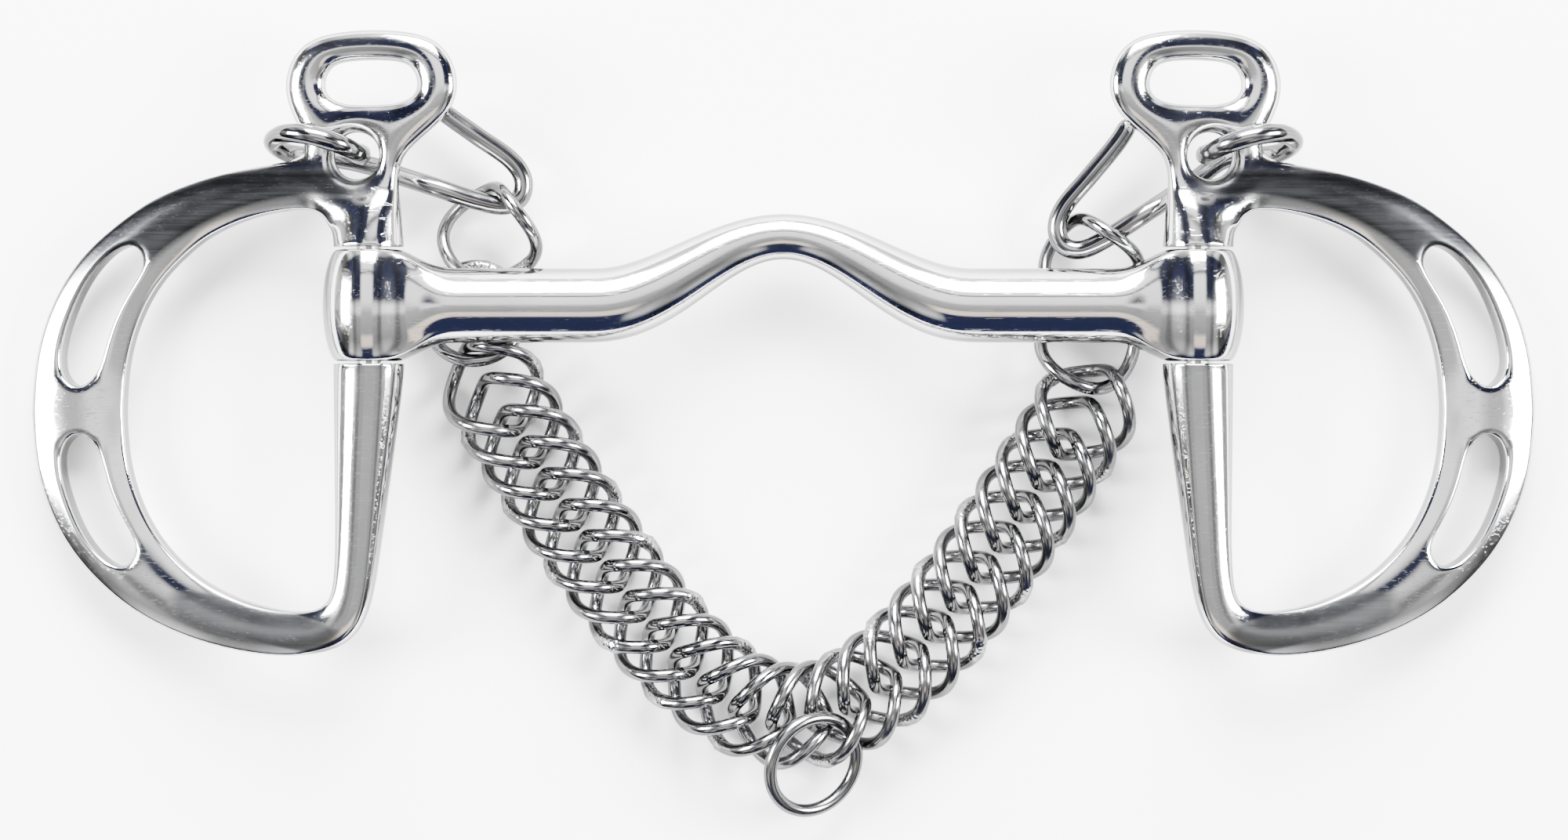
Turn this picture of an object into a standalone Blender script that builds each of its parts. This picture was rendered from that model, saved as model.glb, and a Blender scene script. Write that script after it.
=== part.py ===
"""Curb bit with slotted D cheeks, a low-port mouthpiece, curb hooks and a double-linked curb chain.

The bit lies on a table: X runs across the mouthpiece, +Y points to the headpiece loops and
+Z points up from the table.  The origin is the middle of the footprint.  Lengths are in metres.
Each cheek turns on a spindle pin whose axis runs along Y through a barrel of the mouthpiece.
"""
import math

import bmesh
import bpy
from mathutils import Matrix, Vector

MM = 0.001
GAP = 0.3 * MM                  # clearance between pieces that touch on the real bit

MOUTH_AXIS_HEIGHT = 12.3 * MM   # the mouthpiece rides on the chain rings that pass under it
SPINDLE_X = 68.4 * MM           # half the distance between the two spindle axes
BARREL_HALF_HEIGHT = 9.25 * MM
BARREL_RADIUS = 7.9 * MM
BARREL_END_RADIUS = 5.6 * MM
TUBE_RADIUS = 6.25 * MM
PORT_RISE = 11.4 * MM
PORT_HALF_WIDTH = 31.0 * MM
PORT_THINNING = 2.4 * MM
PIN_RADIUS = 2.0 * MM
PIN_HALF_LENGTH = 16.0 * MM

PLATE_THICKNESS = 5.0 * MM
PLATE_EDGE = 0.9 * MM           # rounding of the plate's edges
SHANK_HALF_WIDTH = 5.6 * MM
LOOP_CENTRE = (0.4 * MM, 37.65 * MM)
LOOP_HALF_LENGTH = 13.6 * MM
LOOP_RADIUS = 7.85 * MM
LOOP_SLOT_HALF_LENGTH = 9.4 * MM
LOOP_SLOT_RADIUS = 4.4 * MM
EYE_CENTRE = (-2.0 * MM, 24.7 * MM)
EYE_RADIUS = 4.4 * MM
EYE_RIM_RADIUS = 6.8 * MM
D_CENTRE = (-8.0 * MM, -17.4 * MM)
D_OUTER = (49.7 * MM, 41.0 * MM)
D_INNER = (34.0 * MM, 33.7 * MM)
D_SQUARENESS = 2.25
REIN_SLOT_HALF_WIDTH = 3.4 * MM
REIN_SLOT_ENDS = ((7.0, -10.2), (-24.4, -40.2))   # heights of the end centres, in mm

HOOK_WIRE_RADIUS = 1.65 * MM
RING_WIRE_RADIUS = 1.11 * MM
RING_RADIUS = 8.0 * MM
RING_PITCH = 6.2 * MM
RING_TWIST = -math.radians(52) / RING_PITCH
RING_SEGMENTS = 22
CHAIN_HEIGHT = 5.7 * MM
CHAIN_BOTTOM = (2.0 * MM, -68.3 * MM)
CHAIN_SLOPE = 2.0
CHAIN_ROUNDNESS = 33.0 * MM
CHAIN_LEFT_X = -48.5 * MM
CHAIN_RUN = 25                  # rings that lie in the double-linked run
LIP_RING_RADIUS = 8.2 * MM
LIP_RING_WIRE_RADIUS = 1.11 * MM
LIP_RING_CENTRE = (5.0 * MM, -76.0 * MM, 9.0 * MM)
LIP_RING_TURN = (23.3, 21.7, 26.4)     # heading, pitch and roll in degrees

FOOTPRINT_TOP = LOOP_CENTRE[1] + LOOP_RADIUS
LIP_RING_FRAME = (Matrix.Rotation(math.radians(LIP_RING_TURN[0]), 3, "Z")
                  @ Matrix.Rotation(math.radians(LIP_RING_TURN[1]), 3, "Y")
                  @ Matrix.Rotation(math.radians(LIP_RING_TURN[2]), 3, "X"))
LIP_RING_REACH = LIP_RING_RADIUS * math.hypot(*LIP_RING_FRAME[1][:2]) + LIP_RING_WIRE_RADIUS
FOOTPRINT_BOTTOM = LIP_RING_CENTRE[1] - LIP_RING_REACH
ROW_SHIFT = -(FOOTPRINT_TOP + FOOTPRINT_BOTTOM) / 2

# tilt that lets the outer edge of each D touch the table
CHEEK_TILT = math.asin((MOUTH_AXIS_HEIGHT - PLATE_THICKNESS / 2) / (D_OUTER[0] - D_CENTRE[0]))


# ---------------------------------------------------------------- scene helpers

def clear_scene():
    for item in list(bpy.data.objects):
        bpy.data.objects.remove(item, do_unlink=True)


def add_collection(name):
    collection = bpy.data.collections.new(name)
    bpy.context.scene.collection.children.link(collection)
    return collection


def add_steel(name, colour, roughness):
    material = bpy.data.materials.new(name)
    material.use_nodes = True
    shader = material.node_tree.nodes["Principled BSDF"]
    shader.inputs["Base Color"].default_value = (*colour, 1.0)
    shader.inputs["Metallic"].default_value = 1.0
    shader.inputs["Roughness"].default_value = roughness
    return material


def shade_round(mesh, degrees=35):
    mesh.shade_smooth()
    mesh.set_sharp_from_angle(angle=math.radians(degrees))


def mesh_from_curve(item, collection, material):
    """Turn a curve object into a mesh object with its caps welded on."""
    depsgraph = bpy.context.evaluated_depsgraph_get()
    mesh = bpy.data.meshes.new_from_object(item.evaluated_get(depsgraph))
    solid = bmesh.new()
    solid.from_mesh(mesh)
    bmesh.ops.remove_doubles(solid, verts=solid.verts, dist=1e-6)
    bmesh.ops.recalc_face_normals(solid, faces=solid.faces)
    solid.to_mesh(mesh)
    solid.free()
    mesh.materials.clear()
    mesh.materials.append(material)
    shade_round(mesh)
    result = bpy.data.objects.new(item.name, mesh)
    result.matrix_world = item.matrix_world
    name = item.name
    bpy.data.objects.remove(item)
    result.name = name
    collection.objects.link(result)
    return result


def add_curve(name, flat=False):
    curve = bpy.data.curves.new(name, "CURVE")
    curve.dimensions = "2D" if flat else "3D"
    item = bpy.data.objects.new(name, curve)
    bpy.context.scene.collection.objects.link(item)
    return item


def add_spline(curve, points, closed, radii=None):
    spline = curve.splines.new("POLY")
    spline.points.add(len(points) - 1)
    for index, point in enumerate(points):
        height = point[2] if len(point) > 2 else 0.0
        spline.points[index].co = (point[0], point[1], height, 1.0)
        if radii:
            spline.points[index].radius = radii[index]
    spline.use_cyclic_u = closed


def wire_object(name, points, radius, closed, collection, material, sides=1):
    item = add_curve(name)
    add_spline(item.data, points, closed)
    item.data.bevel_depth = radius
    item.data.bevel_resolution = sides
    item.data.use_fill_caps = not closed
    bpy.context.view_layer.update()
    return mesh_from_curve(item, collection, material)


def add_boolean(item, cutter, operation, cutters):
    modifier = item.modifiers.new(cutter.name, "BOOLEAN")
    modifier.object = cutter
    modifier.operation = operation
    modifier.solver = "EXACT"
    for holder in list(cutter.users_collection):
        holder.objects.unlink(cutter)
    cutters.objects.link(cutter)
    cutter.hide_render = True
    cutter.display_type = "WIRE"


def turned_along_y(name, profile, steps=24):
    """Solid turned about Y: (radius, height) pairs run from top to bottom, closed at the axis."""
    corners = [(0.0, profile[0][1])] + list(profile) + [(0.0, profile[-1][1])]
    mesh = bpy.data.meshes.new(name)
    links = [(index, index + 1) for index in range(len(corners) - 1)]
    mesh.from_pydata([(radius, height, 0.0) for radius, height in corners], links, [])
    item = bpy.data.objects.new(name, mesh)
    screw = item.modifiers.new("turn", "SCREW")
    screw.axis = "Y"
    screw.steps = steps
    screw.render_steps = steps
    screw.use_merge_vertices = True
    screw.merge_threshold = 1e-6
    return item


# ---------------------------------------------------------------- outlines and paths

def arc(centre, radius, start, end, steps):
    """Points on an arc from start to end, in degrees."""
    points = []
    for step in range(steps + 1):
        angle = math.radians(start + (end - start) * step / steps)
        points.append((centre[0] + radius * math.cos(angle), centre[1] + radius * math.sin(angle)))
    return points


def stadium(centre, half_length, radius, steps=8):
    reach = half_length - radius
    right = arc((centre[0] + reach, centre[1]), radius, -90, 90, steps)
    left = arc((centre[0] - reach, centre[1]), radius, 90, 270, steps)
    return right + left


def d_point(size, angle):
    """Point of the D's squared oval, with the angle in degrees from the inboard side."""
    cosine, sine = math.cos(math.radians(angle)), math.sin(math.radians(angle))
    power = 2 / D_SQUARENESS
    across = math.copysign(abs(cosine) ** power, cosine) * size[0]
    along = math.copysign(abs(sine) ** power, sine) * size[1]
    return (D_CENTRE[0] + across, D_CENTRE[1] + along)


def d_arc(size, start, end, steps):
    return [d_point(size, start + (end - start) * step / steps) for step in range(steps + 1)]


def smooth_path(points, steps):
    """Catmull-Rom curve through the points, steps pieces to each stretch."""
    ends = [points[0]] + list(points) + [points[-1]]
    path = []
    for index in range(1, len(ends) - 2):
        p0, p1, p2, p3 = (Vector(ends[index + offset]) for offset in (-1, 0, 1, 2))
        for step in range(steps):
            t = step / steps
            path.append(0.5 * (2 * p1 + (p2 - p0) * t + (2 * p0 - 5 * p1 + 4 * p2 - p3) * t ** 2
                               + (3 * p1 - p0 - 3 * p2 + p3) * t ** 3))
    path.append(Vector(points[-1]))
    return path


# ---------------------------------------------------------------- cheeks and pins

def cheek_outline():
    """Outer outline of a left cheek about its spindle axis; -X is outboard."""
    shoulder = BARREL_HALF_HEIGHT + GAP
    half = SHANK_HALF_WIDTH
    reach = LOOP_HALF_LENGTH - LOOP_RADIUS
    loop_right = (LOOP_CENTRE[0] + reach, LOOP_CENTRE[1])
    loop_left = (LOOP_CENTRE[0] - reach, LOOP_CENTRE[1])
    outline = [(half, shoulder), (5.2 * MM, 14 * MM), (4.8 * MM, 20 * MM), (4.9 * MM, 24 * MM)]
    outline += [(6.0 * MM, 27.2 * MM), (8.0 * MM, 29.4 * MM)]
    outline += arc(loop_right, LOOP_RADIUS, -58, 90, 9)
    outline += arc(loop_left, LOOP_RADIUS, 90, 236, 9)
    outline += arc(EYE_CENTRE, EYE_RIM_RADIUS, 140, 182, 3)
    outline += d_arc(D_OUTER, 97, 276, 26)
    outline += [(0.6 * MM, -50.4 * MM), (3.7 * MM, -30.0 * MM), (half, -shoulder)]
    outline += [(-half, -shoulder), (-5.3 * MM, -44.0 * MM)]
    outline += d_arc(D_INNER, 267, 92, 20)
    outline += [(-6.3 * MM, 14.2 * MM), (-half, shoulder)]
    return outline


def d_angle_at_height(size, height):
    """Angle on the outboard half of the oval at the given height."""
    ratio = (height - D_CENTRE[1]) / size[1]
    sine = math.copysign(abs(ratio) ** (D_SQUARENESS / 2), ratio)
    return 180 - math.degrees(math.asin(sine))


def rein_slot(top, bottom):
    """Slot that follows the D's band: two offset curves closed by round ends."""
    middle = tuple((outer + inner) / 2 for outer, inner in zip(D_OUTER, D_INNER))
    start, end = d_angle_at_height(middle, top), d_angle_at_height(middle, bottom)
    centres = [Vector(point) for point in d_arc(middle, start, end, 5)]
    normals = []
    for index in range(len(centres)):
        before, after = centres[max(index - 1, 0)], centres[min(index + 1, len(centres) - 1)]
        along = (after - before).normalized()
        normals.append(Vector((along.y, -along.x)))
    width = REIN_SLOT_HALF_WIDTH
    side_a = [tuple(c + n * width) for c, n in zip(centres, normals)]
    side_b = [tuple(c - n * width) for c, n in zip(centres, normals)]
    end_cap = cap_between(centres[-1], normals[-1], width)
    start_cap = cap_between(centres[0], -normals[0], width)
    return side_a + end_cap + side_b[::-1] + start_cap


def cap_between(centre, normal, radius, steps=6):
    """Inner points of the half circle that starts on the normal's side and turns to the other."""
    along = Vector((-normal.y, normal.x))
    points = []
    for step in range(1, steps):
        angle = math.pi * step / steps
        points.append(tuple(centre + radius * (normal * math.cos(angle) + along * math.sin(angle))))
    return points


def mirrored(points, side):
    return [(side * point[0], *point[1:]) for point in points]


def cheek_frame(side):
    """Empty on the spindle axis, tilted so that the D's outer edge rests on the table."""
    holder = bpy.data.objects.new("left_spindle_axis" if side > 0 else "right_spindle_axis", None)
    holder.location = (-side * SPINDLE_X, ROW_SHIFT, MOUTH_AXIS_HEIGHT)
    holder.rotation_euler = (0, -side * CHEEK_TILT, 0)
    return holder


def cheek_plate(name, side, parts, steel):
    item = add_curve(name, flat=True)
    curve = item.data
    outlines = [cheek_outline(), stadium(LOOP_CENTRE, LOOP_SLOT_HALF_LENGTH, LOOP_SLOT_RADIUS),
                arc(EYE_CENTRE, EYE_RADIUS, 0, 360 * 15 / 16, 15)]
    outlines += [rein_slot(top * MM, bottom * MM) for top, bottom in REIN_SLOT_ENDS]
    for outline in outlines:
        add_spline(curve, mirrored(outline, side), True)
    curve.fill_mode = "BOTH"
    curve.extrude = PLATE_THICKNESS / 2 - PLATE_EDGE
    curve.bevel_depth = PLATE_EDGE
    curve.bevel_resolution = 0
    curve.offset = -PLATE_EDGE
    bpy.context.view_layer.update()
    return mesh_from_curve(item, parts, steel)


def shank_boss(name, near, far, far_radius):
    """Round body of a shank, from the barrel's end face outwards along Y."""
    stations = ((SHANK_HALF_WIDTH, near), (SHANK_HALF_WIDTH * 0.96, near + (far - near) * 0.25),
                ((SHANK_HALF_WIDTH + far_radius) / 2, near + (far - near) * 0.7), (far_radius, far))
    return turned_along_y(name, stations, 20)


def add_cheek(side, parts, cutters, steel, pin_steel):
    prefix = "left" if side > 0 else "right"
    holder = cheek_frame(side)
    parts.objects.link(holder)
    cheek = cheek_plate(prefix + "_cheek", side, parts, steel)
    cheek.parent = holder
    shoulder = BARREL_HALF_HEIGHT + GAP
    upper = shank_boss(prefix + "_upper_boss", shoulder, 17.5 * MM, 2.2 * MM)
    lower = shank_boss(prefix + "_lower_boss", -shoulder, -38 * MM, 2.2 * MM)
    socket = PIN_HALF_LENGTH + GAP
    bore = turned_along_y(prefix + "_socket_bore", ((PIN_RADIUS + GAP, socket), (PIN_RADIUS + GAP, -socket)))
    for cutter, operation in ((upper, "UNION"), (lower, "UNION"), (bore, "DIFFERENCE")):
        cutter.parent = holder
        add_boolean(cheek, cutter, operation, cutters)
    pin = turned_along_y(prefix + "_spindle_pin", ((PIN_RADIUS * 0.8, PIN_HALF_LENGTH),
                                                   (PIN_RADIUS, PIN_HALF_LENGTH - 0.6 * MM),
                                                   (PIN_RADIUS, -PIN_HALF_LENGTH + 0.6 * MM),
                                                   (PIN_RADIUS * 0.8, -PIN_HALF_LENGTH)))
    pin.data.materials.append(pin_steel)
    shade_round(pin.data)
    pin.parent = holder
    parts.objects.link(pin)


# ---------------------------------------------------------------- mouthpiece

def port_lift(x):
    """0 on the straight bars and 1 at the crown of the port."""
    if abs(x) >= PORT_HALF_WIDTH:
        return 0.0
    return (1 + math.cos(math.pi * x / PORT_HALF_WIDTH)) / 2


def flare(x):
    """Extra radius where the bar swells into its barrel."""
    start, end = 50 * MM, 66 * MM
    t = min(max((abs(x) - start) / (end - start), 0), 1)
    return 1.1 * MM * t * t * (3 - 2 * t)


def add_mouthpiece(parts, cutters, steel):
    item = add_curve("mouthpiece")
    steps = 44
    points, radii = [], []
    for step in range(steps + 1):
        x = (2 * step / steps - 1) * 66 * MM
        points.append((x, port_lift(x) * PORT_RISE, 0))
        radii.append((TUBE_RADIUS - PORT_THINNING * port_lift(x) + flare(x)) / TUBE_RADIUS)
    add_spline(item.data, points, False, radii)
    item.data.bevel_depth = TUBE_RADIUS
    item.data.bevel_resolution = 5
    item.data.use_fill_caps = True
    item.location = (0, ROW_SHIFT, MOUTH_AXIS_HEIGHT)
    bpy.context.view_layer.update()
    mouthpiece = mesh_from_curve(item, parts, steel)
    for side in (-1, 1):
        top = BARREL_HALF_HEIGHT
        profile = ((BARREL_END_RADIUS, top), (6.9 * MM, top - 1.6 * MM), (7.6 * MM, top - 4.4 * MM),
                   (BARREL_RADIUS, 0), (7.6 * MM, 4.4 * MM - top), (6.9 * MM, 1.6 * MM - top),
                   (BARREL_END_RADIUS, -top))
        barrel = turned_along_y("barrel_%d" % side, profile, 28)
        bore = turned_along_y("barrel_bore_%d" % side, ((PIN_RADIUS + GAP, top + MM),
                                                        (PIN_RADIUS + GAP, -top - MM)))
        for cutter, operation in ((barrel, "UNION"), (bore, "DIFFERENCE")):
            cutter.location = (side * SPINDLE_X, ROW_SHIFT, MOUTH_AXIS_HEIGHT)
            add_boolean(mouthpiece, cutter, operation, cutters)


# ---------------------------------------------------------------- curb hooks

WEB_CENTRE = Vector((-7.6, 25.3, 0.0)) * MM     # the rim of the hook eye that the hook's eye holds

HOOK_EYE = ((-1.4, 25.4, -2.2), (-2.6, 25.8, 1.4), (-5.2, 26.4, 4.4), (-9.2, 27.0, 4.9), (-13.2, 27.2, 3.2),
            (-15.6, 27.1, -1.2), (-14.0, 26.6, -5.8), (-10.0, 26.0, -7.4), (-5.0, 24.9, -7.2))
HOOK_SHANK = ((0.5, 23.2, -6.6), (5.0, 21.6, -5.6), (10.5, 19.8, -4.4), (17.0, 17.7, -5.2), (21.8, 16.8, -6.2),
              (24.6, 18.2, -6.6), (25.0, 21.4, -6.6), (22.8, 24.6, -6.4), (17.4, 28.4, -5.8),
              (11.8, 32.4, -5.4), (8.6, 35.4, -5.0))


def hook_points(side, droop):
    """Centre line of a curb hook; droop swings its shank in the plane of the cheek, in degrees."""
    turn = Matrix.Rotation(math.radians(droop), 3, "Z")
    points = [Vector(point) * MM for point in HOOK_EYE]
    for point in HOOK_SHANK:
        lever = Vector(point) * MM - WEB_CENTRE
        points.append(WEB_CENTRE + turn @ lever)
    placed = []
    for point in smooth_path(points, 3):
        x = side * (point.x - SPINDLE_X)
        placed.append((x, point.y + ROW_SHIFT, point.z + MOUTH_AXIS_HEIGHT))
    return placed


# ---------------------------------------------------------------- chain

def ring_points(radius, twist, segments):
    """Twisted ring about its own centre; its local X lies along the chain."""
    points = []
    for segment in range(segments):
        angle = 2 * math.pi * segment / segments
        along, across = radius * math.cos(angle), radius * math.sin(angle)
        points.append(Vector((along, across * math.cos(twist * along), across * math.sin(twist * along))))
    return points


def place_ring(points, centre, heading, pitch=0.0, roll=0.0):
    """Turn a ring (degrees) and move its centre; heading turns it in the table's plane."""
    turn = (Matrix.Rotation(math.radians(heading), 3, "Z") @ Matrix.Rotation(math.radians(pitch), 3, "Y")
            @ Matrix.Rotation(math.radians(roll), 3, "X"))
    middle = Vector((centre[0], centre[1] + ROW_SHIFT, centre[2]))
    return [middle + turn @ point for point in points]


def chain_y(x):
    depth = CHAIN_SLOPE * CHAIN_ROUNDNESS
    return CHAIN_BOTTOM[1] - depth + math.hypot(CHAIN_SLOPE * (x - CHAIN_BOTTOM[0]), depth)


def chain_stations():
    """(x, y, heading) of each ring of the run, one pitch of arc length apart."""
    x, travelled, step = CHAIN_LEFT_X, RING_PITCH, 0.02 * MM
    stations = []
    while len(stations) < CHAIN_RUN:
        slope = (chain_y(x + step) - chain_y(x - step)) / (2 * step)
        if travelled >= RING_PITCH:
            travelled -= RING_PITCH
            stations.append((x, chain_y(x), math.degrees(math.atan(slope))))
        x += step
        travelled += step * math.hypot(1, slope)
    return stations


# centre x, y, z in mm, heading, pitch, roll in degrees, twist in degrees per mm
LEFT_END_RINGS = ((-48.7, 11.9, 5.6, -100.1, 9.8, 12.5, -6.7), (-51.5, -1.3, 4.7, -48.8, -10.4, -0.2, -1.8))
RIGHT_END_RINGS = ((51.3, 6.9, 4.7, 100.2, -14.6, -16.5, -5.7), (50.9, -6.0, 4.0, 105.2, 9.5, 7.8, -3.6))


def chain_rings():
    """Centre lines of all chain rings, from the left hook to the right hook."""
    twisted = ring_points(RING_RADIUS, RING_TWIST, RING_SEGMENTS)
    run = [place_ring(twisted, (x, y, CHAIN_HEIGHT), heading) for x, y, heading in chain_stations()]

    def end_ring(x, y, z, heading, pitch, roll, twist):
        points = ring_points(RING_RADIUS, math.radians(twist) / MM, RING_SEGMENTS)
        return place_ring(points, (x * MM, y * MM, z * MM), heading, pitch, roll)

    left = [end_ring(*ring) for ring in LEFT_END_RINGS]
    right = [end_ring(*ring) for ring in reversed(RIGHT_END_RINGS)]
    return left + run + right


def lip_ring():
    points = ring_points(LIP_RING_RADIUS, 0.0, 26)
    return place_ring(points, LIP_RING_CENTRE, *LIP_RING_TURN)


def main():
    clear_scene()
    parts = add_collection("curb_bit")
    cutters = add_collection("cutters")
    polished = add_steel("polished_steel", (0.86, 0.86, 0.87), 0.08)
    pin_steel = add_steel("pin_steel", (0.62, 0.62, 0.63), 0.3)
    wire_steel = add_steel("wire_steel", (0.62, 0.62, 0.62), 0.22)
    add_mouthpiece(parts, cutters, polished)
    for side in (1, -1):
        add_cheek(side, parts, cutters, polished, pin_steel)
    for name, side, droop in (("left_curb_hook", 1, 0.0), ("right_curb_hook", -1, -15.0)):
        wire_object(name, hook_points(side, droop), HOOK_WIRE_RADIUS, False, parts, wire_steel, 2)
    for number, points in enumerate(chain_rings(), start=1):
        wire_object("chain_ring_%02d" % number, points, RING_WIRE_RADIUS, True, parts, wire_steel)
    wire_object("lip_strap_ring", lip_ring(), LIP_RING_WIRE_RADIUS, True, parts, wire_steel)


main()
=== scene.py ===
import math

import bmesh
import bpy
from mathutils import Matrix, Vector, noise


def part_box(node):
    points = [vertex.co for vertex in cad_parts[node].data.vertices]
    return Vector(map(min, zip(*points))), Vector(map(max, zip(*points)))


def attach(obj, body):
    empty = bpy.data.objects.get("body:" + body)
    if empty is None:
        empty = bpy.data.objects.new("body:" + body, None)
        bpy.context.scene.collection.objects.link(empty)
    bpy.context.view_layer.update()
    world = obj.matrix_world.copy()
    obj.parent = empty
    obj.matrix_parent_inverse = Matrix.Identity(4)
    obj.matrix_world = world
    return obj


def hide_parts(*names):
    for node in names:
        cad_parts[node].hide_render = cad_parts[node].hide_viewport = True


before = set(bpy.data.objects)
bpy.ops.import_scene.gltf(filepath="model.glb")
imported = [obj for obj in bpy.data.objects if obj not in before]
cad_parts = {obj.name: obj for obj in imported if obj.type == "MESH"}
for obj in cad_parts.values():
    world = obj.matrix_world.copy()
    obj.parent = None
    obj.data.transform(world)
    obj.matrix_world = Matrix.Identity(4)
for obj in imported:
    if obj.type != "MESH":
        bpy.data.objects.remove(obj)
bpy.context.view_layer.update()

mm = 0.001
spindleX = 68.4 * mm
axisHeight = 12.3 * mm
barrelHalf = 9.25 * mm
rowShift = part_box("mouthpiece")[0].y + barrelHalf     # height of the spindle row in the frame
print("frame loaded, spindle row at y =", round(rowShift, 5))


# ---- small helpers shared by the pieces

def startClean():
    if bpy.context.mode != "OBJECT":
        bpy.ops.object.mode_set(mode="OBJECT")
    bpy.ops.object.select_all(action="DESELECT")


def pickOnly(piece):
    startClean()
    bpy.context.view_layer.objects.active = piece
    piece.select_set(True)


def editAll(piece):
    pickOnly(piece)
    bpy.ops.object.mode_set(mode="EDIT")
    bpy.ops.mesh.select_all(action="SELECT")


def extrudeAlong(frames):      # the picked edges are drawn out through each frame in turn
    for before, after in zip(frames, frames[1:]):
        bpy.ops.mesh.extrude_region_move()
        move = after @ before.inverted()
        shape = bmesh.from_edit_mesh(bpy.context.object.data)
        for vert in shape.verts:
            if vert.select:
                vert.co = move @ vert.co
        bmesh.update_edit_mesh(bpy.context.object.data)


def closeUp(piece, reach=0.00002):
    editAll(piece)
    bpy.ops.mesh.remove_doubles(threshold=reach)
    bpy.ops.mesh.normals_make_consistent(inside=False)
    bpy.ops.object.mode_set(mode="OBJECT")


def subdivide(piece, levels):
    smooth = piece.modifiers.new("smooth", "SUBSURF")
    smooth.levels = smooth.render_levels = levels
    pickOnly(piece)
    bpy.ops.object.modifier_apply(modifier=smooth.name)


def finishPiece(piece, name, material, body, nodes, angle=50):
    piece.name = piece.data.name = name
    pickOnly(piece)
    bpy.ops.object.shade_smooth_by_angle(angle=math.radians(angle))
    piece.data.materials.clear()
    piece.data.materials.append(material)
    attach(piece, body)
    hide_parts(*nodes)


def smoothPath(points, steps):       # Catmull-Rom curve through the points
    ends = [points[0]] + list(points) + [points[-1]]
    path = []
    for index in range(1, len(ends) - 2):
        a, b, c, d = (Vector(ends[index + shift]) for shift in (-1, 0, 1, 2))
        for step in range(steps):
            t = step / steps
            path.append(0.5 * (2 * b + (c - a) * t + (2 * a - 5 * b + 4 * c - d) * t ** 2
                               + (3 * b - a - 3 * c + d) * t ** 3))
    path.append(Vector(points[-1]))
    return path


# ---- materials

def addNode(tree, kind, place, **settings):
    node = tree.nodes.new(kind)
    node.location = place
    for key, value in settings.items():
        if key in node.inputs:
            node.inputs[key].default_value = value
        else:
            setattr(node, key, value)
    return node


def addRamp(tree, place, stops, source):
    node = addNode(tree, "ShaderNodeValToRGB", place)
    ramp = node.color_ramp
    while len(ramp.elements) < len(stops):
        ramp.elements.new(0.5)
    for element, (position, colour) in zip(ramp.elements, stops):
        element.position = position
        element.color = (*colour, 1) if isinstance(colour, tuple) else (colour, colour, colour, 1)
    tree.links.new(source, node.inputs["Fac"])
    return node.outputs["Color"]


def addMath(tree, place, operation, first, second=None, third=None):
    node = addNode(tree, "ShaderNodeMath", place, operation=operation)
    for socket, value in zip(node.inputs, (first, second, third)):
        if value is None:
            continue
        if isinstance(value, (int, float)):
            socket.default_value = value
        else:
            tree.links.new(value, socket)
    return node.outputs[0]


def addStep(tree, place, source, start, end):      # smooth 0 to 1 from start to end
    node = addNode(tree, "ShaderNodeMapRange", place, interpolation_type="SMOOTHSTEP")
    for socket, value in zip(("From Min", "From Max", "To Min", "To Max"), (start, end, 0.0, 1.0)):
        node.inputs[socket].default_value = value
    tree.links.new(source, node.inputs["Value"])
    return node.outputs["Result"]


def addMix(tree, place, amount, first, second):
    node = addNode(tree, "ShaderNodeMix", place, data_type="RGBA")
    for socket, value in zip((node.inputs[0], node.inputs[6], node.inputs[7]), (amount, first, second)):
        if isinstance(value, (int, float)):
            socket.default_value = value
        elif isinstance(value, tuple):
            socket.default_value = (*value, 1)
        else:
            tree.links.new(value, socket)
    return node.outputs[2]


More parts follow.
